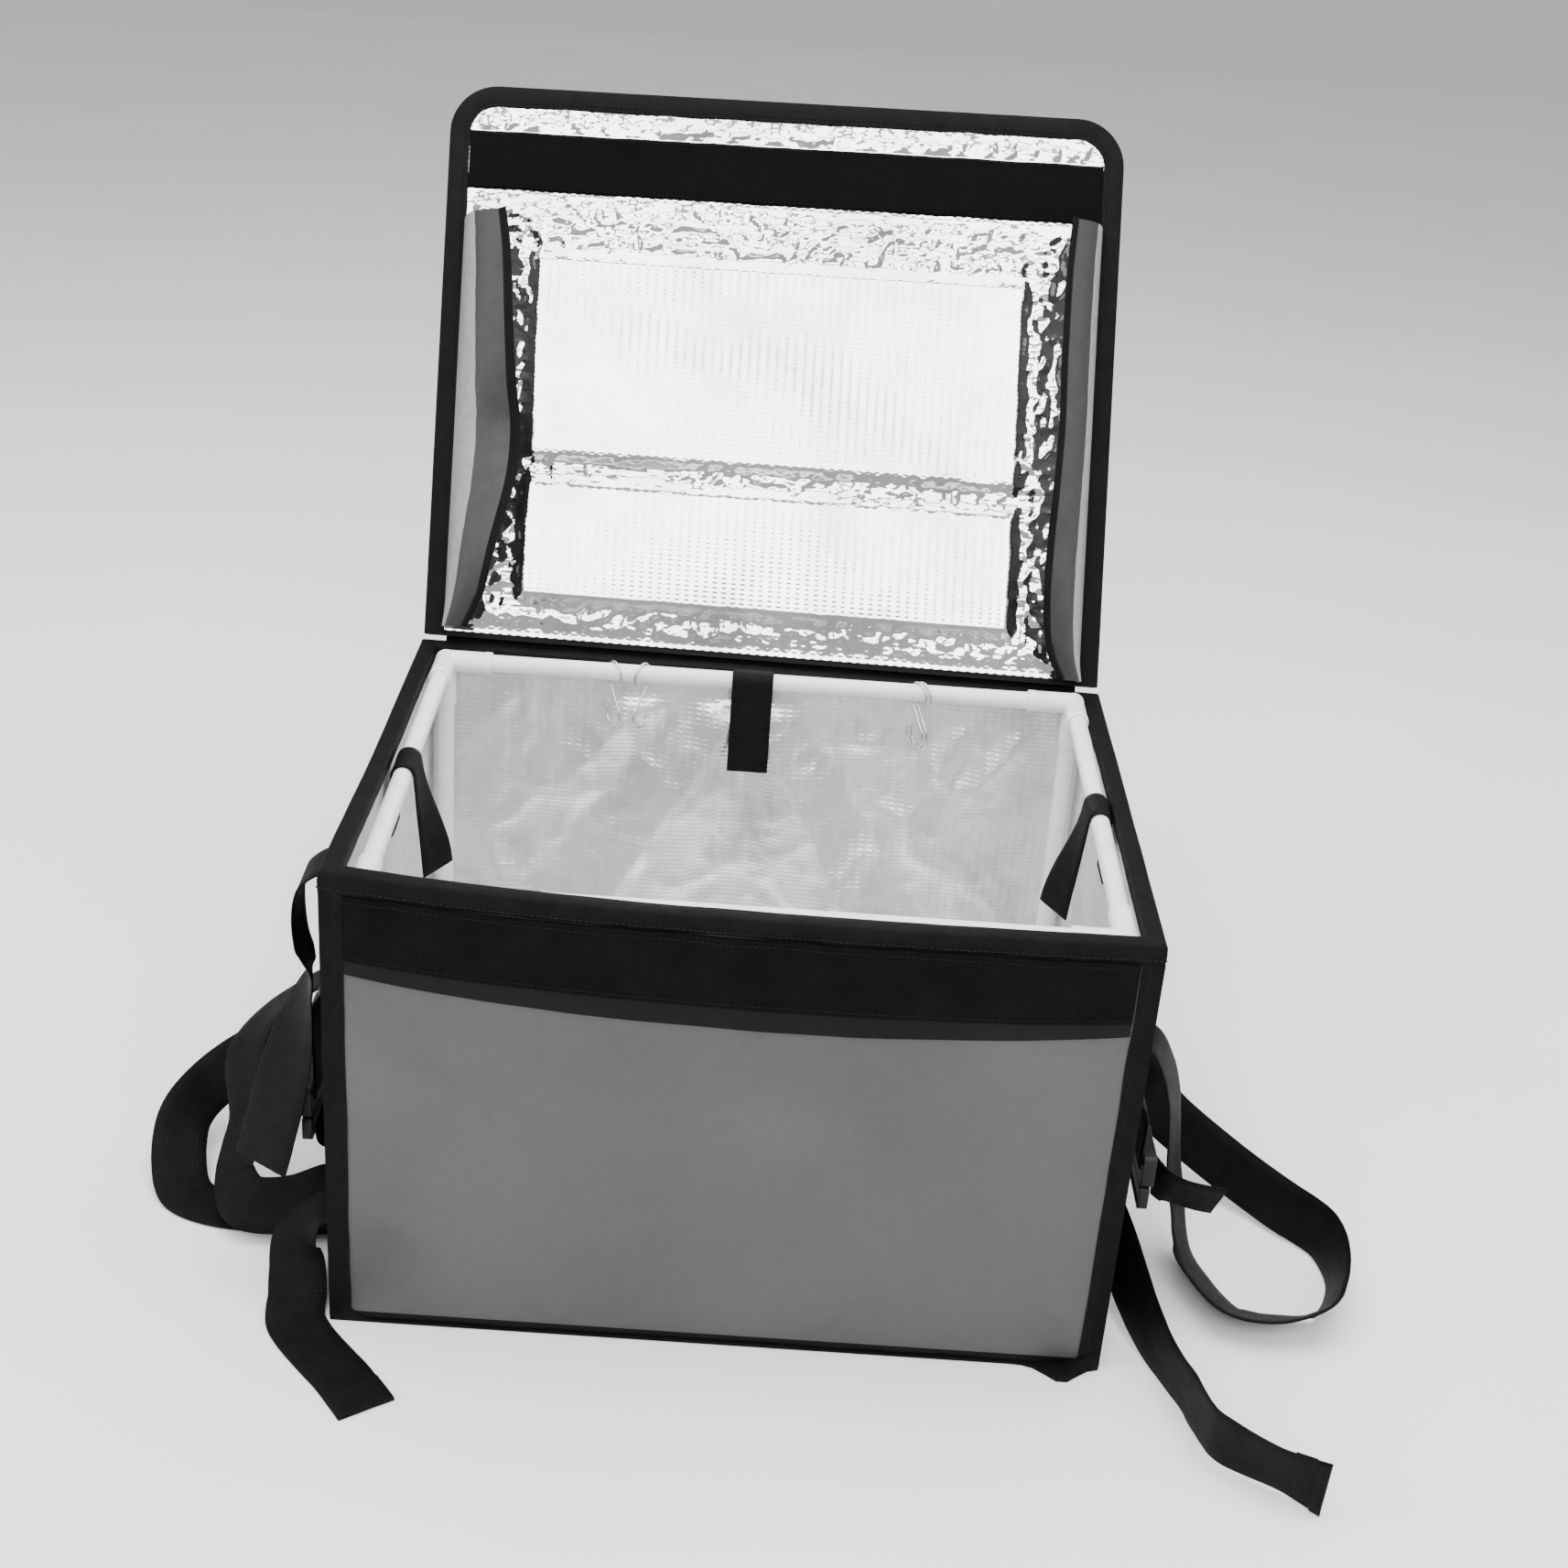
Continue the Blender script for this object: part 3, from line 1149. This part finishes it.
def skirt_rail(side, share_out):
    sign = -1 if side == "left" else 1
    seam = HALF_WIDTH - TAPE - TAPE_FACE - 3 * GAP
    seat = 3 * GAP + FOIL + TAPE / 2
    main = LID_LENGTH - LID_FLAP - 2 * GAP
    points = []
    for along, reach, lift in skirt_rows(side):
        curl = math.sin(math.pi * min(1.0, share_out)) * SKIRT_CURL
        wave = share_out * 0.0016 * wander((sign, along * 3, share_out * 0.4), 0.5, 3.0, 2)
        reach_out = reach * SKIRT_WIDTH * share_out - curl
        points.append(lid_point(sign * (seam - reach_out), along * main, seat + lift * SKIRT_WIDTH * share_out + curl + wave))
    return points


def skirt_normal(side, row):
    sign = -1 if side == "left" else 1
    inward = (lid_point(0, 0, 1) - lid_point(0, 0, 0)).normalized()
    return (Vector((sign, 0, 0)) * row[2] + inward * row[1]).normalized()


def skirts():
    shares = spread(0.0, 1.0, 12)
    for side in ("left", "right"):
        rows = skirt_rows(side)
        rails = [skirt_rail(side, share) for share in shares]
        shape = Shape()

        def place(column, row, level):
            half = skirt_normal(side, rows[row]) * SKIRT_CLOTH / 2
            return rails[column][row] + (half if level else -half)

        shape.grid(list(range(len(shares))), list(range(len(rows))), place,
                   lambda column, row: (shares[column] * SKIRT_WIDTH, rows[row][0] * LID_LENGTH))
        piece = shape.piece(f"skirt_{side}_cloth", SKIRT, "black_coated_cloth", [f"skirt_{side}"])
        inner = skirt_rail(side, 1.0)
        outer = skirt_rail(side, 1.0 + SKIRT_TAPE / SKIRT_WIDTH)
        sections, seam, seam_out = [], [], []
        for row, start, end in zip(rows, inner, outer):
            out = skirt_normal(side, row)
            half = out * SKIRT_TAPE_THICKNESS / 2
            run = (end - start).normalized()
            begin = start + run * GAP
            sections.append([begin + half * 0.8, mix(begin, end, 0.5) + half, end + half * 0.5, end + run * 0.0008,
                             end - half * 0.5, mix(begin, end, 0.5) - half, begin - half * 0.8])
            seam.append(mix(begin, end, 0.3) + half)
            seam_out.append(out)
        tape = Shape()
        tape.loft(sections)
        tape.piece(f"skirt_{side}_tape", TAPE_LOOK, "black_tape", [f"skirt_{side}_binding"])
        thread = Shape()
        thread.stitches(seam, seam_out)
        thread.piece(f"skirt_{side}_stitching", THREAD, "black_tape")


# The tube frame

def dip(point):
    """Lower a point of the frame's top, which stands lower at the front than at the back."""
    forward = 0.5 - point.y / (2 * FRAME_HALF_DEPTH)
    up = (point.z - FRAME_BOTTOM - FITTING_LEG) / (FRAME_TOP - FRAME_BOTTOM - FITTING_LEG)
    return point - Vector((0, 0, FRAME_DIP * forward * max(0.0, up)))


def circle(centre, axis, radius, sides):
    first = axis.orthogonal().normalized()
    second = axis.cross(first).normalized()
    return [centre + (first * math.cos(2 * math.pi * i / sides) + second * math.sin(2 * math.pi * i / sides)) * radius
            for i in range(sides)]


def tube_frame():
    side_names = {-1: "left", 1: "right"}
    face_names = {-1: "front", 1: "back"}
    heights = {"lower": FRAME_BOTTOM, "upper": FRAME_TOP}
    hold = FITTING_LEG - SOCKET_DEPTH + GAP

    def tube(name, start, end):
        axis = (end - start).normalized()
        rings = [(start, TUBE_BORE_RADIUS), (start, TUBE_RADIUS - 0.0004), (start + axis * 0.0004, TUBE_RADIUS)]
        count = 12
        for k in range(1, count):
            rings.append((mix(start, end, k / count), TUBE_RADIUS))
        rings += [(end - axis * 0.0004, TUBE_RADIUS), (end, TUBE_RADIUS - 0.0004), (end, TUBE_BORE_RADIUS)]
        shape = Shape()
        shape.loft([[dip(point) for point in circle(centre, axis, radius, 28)] for centre, radius in rings],
                   closed=True)
        shape.piece(name.replace("tube_", "pipe_"), PLASTIC, "white_plastic", [name], sharp=40)

    for level, z in heights.items():
        for x_sign, side in side_names.items():
            for y_sign, face in face_names.items():
                centre = Vector((x_sign * FRAME_HALF_WIDTH, y_sign * FRAME_HALF_DEPTH, z))
                shape = Shape()
                legs = (Vector((-x_sign, 0, 0)), Vector((0, -y_sign, 0)), Vector((0, 0, 1 if level == "lower" else -1)))
                bore = TUBE_RADIUS + 0.00025
                for axis in legs:
                    rings = [(0.0, FITTING_RADIUS * 0.94), (0.004, FITTING_RADIUS * 0.965), (FITTING_LEG - 0.006, FITTING_RADIUS * 0.965),
                             (FITTING_LEG - 0.0052, FITTING_RADIUS), (FITTING_LEG - 0.0006, FITTING_RADIUS),
                             (FITTING_LEG, FITTING_RADIUS - 0.0004), (FITTING_LEG, bore), (FITTING_LEG - SOCKET_DEPTH, bore),
                             (FITTING_LEG - SOCKET_DEPTH, 0.001)]
                    shape.loft([[dip(point) for point in circle(centre + axis * reach, axis, radius, 28)]
                                for reach, radius in rings])
                ball = [circle(centre + Vector((0, 0, FITTING_RADIUS * math.sin(turn))), Vector((0, 0, 1)),
                               max(0.0002, FITTING_RADIUS * math.cos(turn)), 28) for turn in spread(-math.pi / 2, math.pi / 2, 14)]
                shape.loft([[dip(point) for point in ring] for ring in ball])
                shape.piece(f"elbow_{level}_{face}_{side}", PLASTIC, "white_plastic",
                            [f"fitting_{level}_{face}_{side}"], sharp=40)
        for y_sign, face in face_names.items():
            y, reach = y_sign * FRAME_HALF_DEPTH, FRAME_HALF_WIDTH - hold
            tube(f"tube_{level}_{face}", Vector((-reach, y, z)), Vector((reach, y, z)))
        for x_sign, side in side_names.items():
            x, reach = x_sign * FRAME_HALF_WIDTH, FRAME_HALF_DEPTH - hold
            tube(f"tube_{level}_{side}", Vector((x, -reach, z)), Vector((x, reach, z)))
    for x_sign, side in side_names.items():
        for y_sign, face in face_names.items():
            foot = Vector((x_sign * FRAME_HALF_WIDTH, y_sign * FRAME_HALF_DEPTH, FRAME_BOTTOM + hold))
            tube(f"tube_upright_{face}_{side}", foot, Vector((foot.x, foot.y, FRAME_TOP - hold)))


# Webbing

def ribbon(points, widths, width, thickness, seed, curl=0.0):
    """Rounded sections of webbing along its middle points."""
    sections = []
    last = len(points) - 1
    for i, point in enumerate(points):
        tangent = (points[min(last, i + 1)] - points[max(0, i - 1)]).normalized()
        across = (widths[i] - tangent * widths[i].dot(tangent)).normalized()
        out = across.cross(tangent).normalized()
        top, low = [], []
        for share in (-1.0, -0.96, -0.6, -0.2, 0.2, 0.6, 0.96, 1.0):
            thin = 0.35 if abs(share) == 1 else 1.0
            bend = curl * share * share + 0.0004 * wander(point + across * share * width, 0.03, seed, 2)
            middle = point + across * share * width / 2 + out * bend
            top.append(middle + out * thickness / 2 * thin)
            low.append(middle - out * thickness / 2 * thin)
        sections.append(low + top[::-1])
    return sections


def strap_spot(side, out, along, up):
    sign = -1 if side == "left" else 1
    wall = soften(Vector((sign * HALF_WIDTH, max(-1.0, min(1.0, along)) * HALF_DEPTH, up * BOX_HEIGHT)))
    x = wall.x + sign * (STRAP_SEAT + out * STRAP_REACH)
    return Vector((x, along * HALF_DEPTH, up * BOX_HEIGHT + GAP + WEBBING / 2))


def seat_shift(side, place, width, run):
    sign = -1 if side == "left" else 1
    across = width * WEBBING_WIDTH / 2
    out = width.cross(run).normalized() * WEBBING / 2
    room = []
    for corner in (across + out, across - out, -across + out, -across - out):
        spot = place + corner
        wall = soften(Vector((sign * HALF_WIDTH, spot.y, spot.z)))
        room.append(sign * (spot.x - wall.x))
    return sign * (GAP - min(room))


def straps():
    for number, (name, (side, rows)) in enumerate(STRAP_ROUTES.items()):
        vectors = []
        for out, along, up, turn, rise in rows:
            turn, rise = math.radians(turn), math.radians(rise)
            width = Vector((math.cos(turn) * math.cos(rise), math.sin(turn) * math.cos(rise), math.sin(rise)))
            vectors.append([*strap_spot(side, out, along, up), *width])
        coarse = smooth_rows(vectors, 2)
        for index, following in ((0, 1), (-1, -2)):
            if rows[index][0] == 0:
                place = Vector(coarse[index][:3])
                run = (Vector(coarse[following][:3]) - place) * (1 if index == 0 else -1)
                in_wall = run.cross(Vector((1, 0, 0))).normalized()
                width = in_wall if in_wall.dot(Vector(coarse[index][3:])) > 0 else -in_wall
                place.x += seat_shift(side, place, width, run)
                coarse[index] = [*place, *width]
        fine = smooth_rows(coarse, 5)
        points = [Vector(row[:3]) for row in fine]
        widths = [Vector(row[3:]) for row in fine]
        shape = Shape()
        sections = ribbon(points, widths, WEBBING_WIDTH, WEBBING, number * 1.7)
        shape.loft(sections)
        slot = "black_webbing"
        piece = shape.piece(name + "_web", WEB, slot, [name])
        if name in HEMMED:
            hem(name, points, widths, number)


def hem(name, points, widths, number):
    """The folded-over end of a strap, with two rows of stitches across it."""
    tail, reach = [len(points) - 1], 0.0
    while reach < HEM:
        i = tail[-1]
        reach += (points[i] - points[i - 1]).length
        tail.append(i - 1)
    tail = tail[::-1]
    places, outs, spans = [], [], []
    for i in tail:
        tangent = (points[min(len(points) - 1, i + 1)] - points[max(0, i - 1)]).normalized()
        across = (widths[i] - tangent * widths[i].dot(tangent)).normalized()
        out = across.cross(tangent).normalized()
        if out.z < 0:
            out = -out
        places.append(points[i] + out * (WEBBING + 0.0001))
        outs.append(out)
        spans.append(across)
    shape = Shape()
    shape.loft(ribbon(places, spans, WEBBING_WIDTH * 0.97, WEBBING * 0.8, number * 2.1))
    shape.piece(name + "_hem", WEB, "black_webbing")
    thread = Shape()
    for k in (1, len(tail) - 2):
        middle, across, out = places[k] + outs[k] * WEBBING * 0.5, spans[k], outs[k]
        line = [middle + across * WEBBING_WIDTH * share for share in (-0.42, 0.0, 0.42)]
        thread.stitches(line, [out] * 3)
    thread.piece(name + "_stitching", THREAD, "black_webbing")


TAB_LEAN = 0.008
TAB_TURN = math.radians(-32)


def frame_tabs():
    middles = {
        "back": (Vector((-0.024 * FRAME_HALF_WIDTH, FRAME_HALF_DEPTH, FRAME_TOP)), (0, -1, 0), 0.88),
        "left": (Vector((-FRAME_HALF_WIDTH, -0.03 * FRAME_HALF_DEPTH, FRAME_TOP)), (1, 0, 0), 1.0),
        "right": (Vector((FRAME_HALF_WIDTH, -0.02 * FRAME_HALF_DEPTH, FRAME_TOP)), (-1, 0, 0), 1.0),
    }
    radius = TUBE_RADIUS + GAP + WEBBING / 2
    for side, (tube_point, inward, drop) in middles.items():
        inward = Vector(inward)
        along = inward.cross(Vector((0, 0, 1)))
        points = [tube_point - inward * radius - Vector((0, 0, FRAME_STRAP_SEWN * share)) for share in (1.0, 0.5)]
        for step in range(13):
            turn = math.pi * step / 12
            points.append(tube_point - inward * radius * math.cos(turn) + Vector((0, 0, radius * math.sin(turn))))
        for share in spread(0.1, 1.0, 9):
            place = tube_point + inward * (radius + share * FRAME_STRAP_STAND)
            points.append(place - Vector((0, 0, share * drop * FRAME_STRAP_DROP)))
        widths = [along] * len(points)
        if side != "back":
            free = len(points) - 15
            for k in range(free):
                share = smooth_step((k + 1) / free)
                points[15 + k] = points[15 + k] + inward * TAB_LEAN * share
                widths[15 + k] = Matrix.Rotation(inward.x * TAB_TURN * share, 3, "Z") @ along
            points = [dip(point) for point in points]
        shape = Shape()
        shape.loft(ribbon(points, widths, FRAME_STRAP_WIDTH, WEBBING, len(side)))
        piece = shape.piece(f"frame_tab_{side}", WEB, "black_webbing", [f"frame_strap_{side}"])


# Hooks and buckles

def s_hooks():
    places = {
        "s_hook_left_outer": (-0.214, 1, "hook_left_outer"),
        "s_hook_left_inner": (-0.172, -1, "hook_left_inner"),
        "s_hook_right_inner": (0.233, 1, "hooks_right"),
        "s_hook_right_outer": (0.2398, 1, "hooks_right"),
    }
    radius = HOOK_LOOP / 2
    bend = HOOK_SWEEP / 8
    drop = radius * math.cos(math.radians(bend / 2)) - HOOK_WIRE / 2 - TUBE_RADIUS - GAP
    neck = HOOK_LENGTH - HOOK_LOOP - HOOK_WIRE
    for node, (share, way, body) in places.items():
        flat = []
        for step in range(25):
            angle = math.radians(HOOK_SWEEP * (1 - step / 24))
            flat.append((radius * math.cos(angle), radius * math.sin(angle)))
        for along in (0.15, 0.3, 0.4, 0.5, 0.6, 0.7, 0.85):
            flat.append((radius * math.cos(math.pi * along), -neck * mix(0.05, 0.95, smooth_step(along))))
        for step in range(25):
            angle = math.radians(180 + HOOK_SWEEP * step / 24)
            flat.append((radius * math.cos(angle), radius * math.sin(angle) - neck))
        turn = Matrix.Rotation(math.radians(way * HOOK_TURN), 3, "Z")
        centre = Vector((share * BOX_WIDTH, FRAME_HALF_DEPTH, FRAME_TOP))
        curve = bpy.data.curves.new(node + "_wire", "CURVE")
        curve.dimensions = "3D"
        curve.bevel_depth = HOOK_WIRE / 2
        curve.bevel_resolution = 4
        curve.use_fill_caps = True
        spline = curve.splines.new("POLY")
        spline.points.add(len(flat) - 1)
        for point, (across, up) in zip(spline.points, flat):
            point.co = (*(centre + turn @ Vector((0, across, up - drop))), 1)
        settle(bpy.data.objects.new(node + "_wire", curve), WIRE, [node], body)


def rounded_outline(width, height, corner, steps=4):
    points = []
    for x_sign, y_sign, start in ((1, 1, 0), (-1, 1, 90), (-1, -1, 180), (1, -1, 270)):
        for step in range(steps + 1):
            turn = math.radians(start + 90 * step / steps)
            points.append((x_sign * (width / 2 - corner) + corner * math.cos(turn),
                           y_sign * (height / 2 - corner) + corner * math.sin(turn)))
    return points


def buckle_plate(name, node, place, width, height, thickness, slots):
    curve = bpy.data.curves.new(name, "CURVE")
    curve.dimensions = "2D"
    curve.fill_mode = "BOTH"
    round_edge = 0.0007
    curve.extrude = thickness / 2 - round_edge
    curve.bevel_depth = round_edge
    curve.bevel_resolution = 2
    curve.offset = -round_edge
    outlines = [(rounded_outline(width, height, height / 6), 0.0)]
    for centre in slots:
        outlines.append((rounded_outline(width - 2 * BUCKLE_RAIL, BUCKLE_SLOT, BUCKLE_SLOT / 3), centre))
    for points, lift in outlines:
        spline = curve.splines.new("POLY")
        spline.points.add(len(points) - 1)
        spline.use_cyclic_u = True
        for point, (x, y) in zip(spline.points, points):
            point.co = (x, y + lift, 0, 1)
    item = bpy.data.objects.new(name, curve)
    item.rotation_euler = (math.pi / 2, 0, math.pi / 2)
    item.location = place
    settle(item, MOULDED, [node])


def buckles():
    for side, up, with_adjuster in (("left", 0.335, True), ("right", 0.300, False)):
        sign = -1 if side == "left" else 1
        clear = WEBBING / 2 + 2 * GAP
        seat = strap_spot(side, 0.105, -0.45, up)
        socket = seat + Vector((sign * (clear + SOCKET_THICKNESS / 2), 0, 0))
        slot = SOCKET_HEIGHT / 2 - BUCKLE_RAIL - BUCKLE_SLOT / 2
        buckle_plate(f"{side}_socket_shell", f"{side}_buckle_socket", socket, BUCKLE_WIDTH, SOCKET_HEIGHT,
                     SOCKET_THICKNESS, [slot])
        plug = seat + Vector((sign * (clear + PLUG_THICKNESS / 2), 0, -(SOCKET_HEIGHT + PLUG_HEIGHT) / 2 - GAP))
        slot = BUCKLE_RAIL + BUCKLE_SLOT / 2 - PLUG_HEIGHT / 2
        buckle_plate(f"{side}_plug_shell", f"{side}_buckle_plug", plug, BUCKLE_WIDTH, PLUG_HEIGHT, PLUG_THICKNESS, [slot])
        if with_adjuster:
            above = strap_spot(side, 0.105, -0.45, up + 0.155)
            place = above + Vector((sign * (clear + ADJUSTER_THICKNESS / 2), 0, 0))
            middle = (BUCKLE_SLOT + BUCKLE_RAIL) / 2
            buckle_plate(f"{side}_adjuster_shell", f"{side}_adjuster", place, BUCKLE_WIDTH, ADJUSTER_HEIGHT,
                         ADJUSTER_THICKNESS, [-middle, middle])


# Studio

def studio():
    camera_data = bpy.data.cameras.new("camera")
    camera_data.sensor_width = 36.0
    camera_data.lens = 52.496
    camera = bpy.data.objects.new("camera", camera_data)
    bpy.context.scene.collection.objects.link(camera)
    turn = Matrix.Rotation(math.radians(-0.868), 4, "Z") @ Matrix.Rotation(math.radians(64.699), 4, "X")
    turn = turn @ Matrix.Rotation(math.radians(4.320), 4, "Z")
    camera.matrix_world = Matrix.Translation((-0.00052, -1.37775, 0.96622)) @ turn
    bpy.context.scene.camera = camera

    mesh = bpy.data.meshes.new("floor")
    bm = bmesh.new()
    bmesh.ops.create_grid(bm, x_segments=2, y_segments=2, size=6.0)
    bm.to_mesh(mesh)
    bm.free()
    floor = bpy.data.objects.new("floor", mesh)
    bpy.context.scene.collection.objects.link(floor)
    mesh.materials.append(FLOOR)

    world = bpy.data.worlds.new("studio")
    world.use_nodes = True
    world.node_tree.nodes["Background"].inputs["Color"].default_value = (1, 1, 1, 1)
    world.node_tree.nodes["Background"].inputs["Strength"].default_value = 0.55
    bpy.context.scene.world = world

    def area(name, place, target, width, height, power):
        data = bpy.data.lights.new(name, "AREA")
        data.shape = "RECTANGLE"
        data.size, data.size_y, data.energy = width, height, power
        lamp = bpy.data.objects.new(name, data)
        lamp.location = place
        direction = Vector(target) - Vector(place)
        lamp.rotation_euler = direction.to_track_quat("-Z", "Y").to_euler()
        bpy.context.scene.collection.objects.link(lamp)

    area("top", (0.0, 0.1, 2.3), (0, 0.05, 0.2), 2.6, 2.0, 95)
    area("left", (-2.3, -0.6, 1.5), (0, 0, 0.3), 1.6, 1.6, 34)
    area("right", (2.3, -0.5, 1.3), (0, 0, 0.3), 1.4, 1.6, 24)
    area("front", (0.0, -2.9, 2.74), (0, 0.2, 0.5), 3.4, 1.75, 120)
    curved_card()


# A dark curved card before the front light, which the lid's foil mirrors as a streak
CARD_AT = -2.4
CARD_LINE = [
    (-0.66, 2.775, 0.030), (-0.50, 2.705, 0.050), (-0.34, 2.665, 0.080), (-0.19, 2.600, 0.105),
    (-0.02, 2.545, 0.105), (0.12, 2.490, 0.115), (0.27, 2.400, 0.120), (0.38, 2.300, 0.110), (0.50, 2.215, 0.085),
    (0.60, 2.150, 0.050),
]


def curved_card():
    line = smooth_rows([list(row) for row in CARD_LINE], 5)
    mesh = bpy.data.meshes.new("curved_card")
    points, faces = [], []
    for x, z, width in line:
        points += [(x, CARD_AT, z - width / 2), (x, CARD_AT, z + width / 2)]
    for k in range(len(line) - 1):
        faces.append((2 * k, 2 * k + 2, 2 * k + 3, 2 * k + 1))
    mesh.from_pydata(points, [], faces)
    card = bpy.data.objects.new("curved_card", mesh)
    bpy.context.scene.collection.objects.link(card)
    mesh.materials.append(CARD)


wall_cloth("front", GREY, "grey_coated_cloth", 150, 96)
for wall in ("back", "left", "right"):
    wall_cloth(wall, BLACK, "black_coated_cloth", 70, 50)
base_cloth()
foil_bag()
rim_tape()
edge_tape()
front_bands()
hinge_strip()
lid_cloth()
lid_foil()
lid_tape()
loop_tape()
skirts()
tube_frame()
straps()
frame_tabs()
s_hooks()
buckles()
studio()
